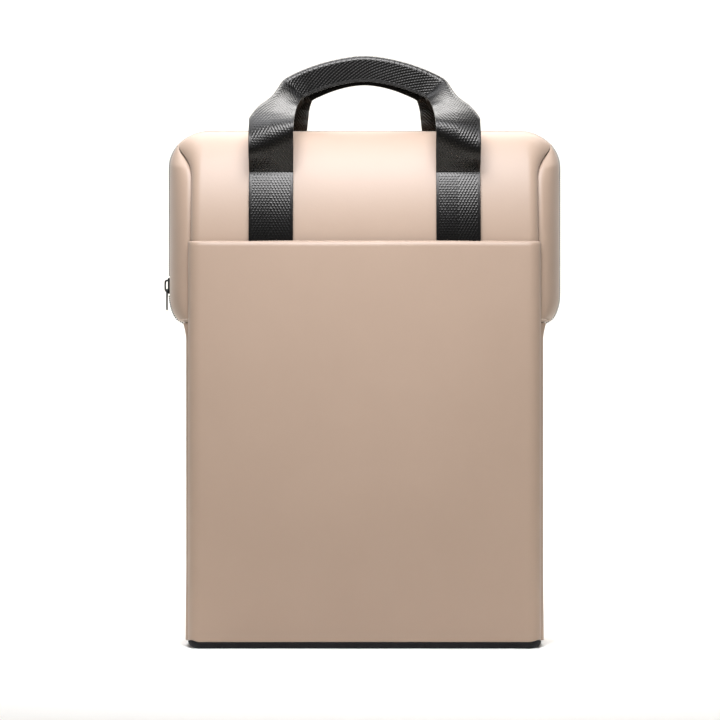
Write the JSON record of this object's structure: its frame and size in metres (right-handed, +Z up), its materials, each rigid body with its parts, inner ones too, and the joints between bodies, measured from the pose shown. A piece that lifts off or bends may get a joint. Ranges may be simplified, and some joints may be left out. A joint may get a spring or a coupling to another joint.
{
  "type": "convertible backpack",
  "caption": "Tall soft backpack with a flat front, slip pocket, zip gusset over the top, folded webbing carry handles and padded shoulder straps.",
  "frame": {"origin": "on the floor under the middle of the body, in the plane of the zip", "axes": "+Z up, the pocket side faces -Y, +X to the right seen from the front"},
  "size_m": [0.3473, 0.1724, 0.5142],
  "materials": {
    "coated_fabric": "matte coated woven polyester, beige",
    "black_webbing": "herringbone woven polyester webbing, black",
    "base_fabric": "coated fabric, black",
    "zip_coil": "nylon coil on woven tape, black",
    "black_plastic": "moulded, fine texture",
    "zip_metal": "black painted zinc casting"
  },
  "bodies": {
    "bag": {"front_panel": "coated_fabric", "front_pocket": "coated_fabric", "back_panel": "coated_fabric", "gusset_front": "coated_fabric", "gusset_rear": "coated_fabric", "side_panel_left": "coated_fabric", "side_panel_right": "coated_fabric", "shoulder_strap_left": "coated_fabric", "shoulder_strap_right": "coated_fabric", "handle_front": "black_webbing", "handle_rear": "black_webbing", "strap_webbing_left": "black_webbing", "strap_webbing_right": "black_webbing", "base_panel": "base_fabric", "zip_tape": "zip_coil", "strap_adjuster_left": "black_plastic", "strap_adjuster_right": "black_plastic", "zip_slider": "zip_metal"},
    "pull_tab": {"zip_pull": "zip_metal"}
  },
  "joints": [
    {"name": "pull_tab_hinge", "type": "hinge", "parent": "bag", "child": "pull_tab", "pos_m": [-0.174, 0, 0.3098], "axis": [0, 1, 0], "range_deg": [0, 120]}
  ]
}
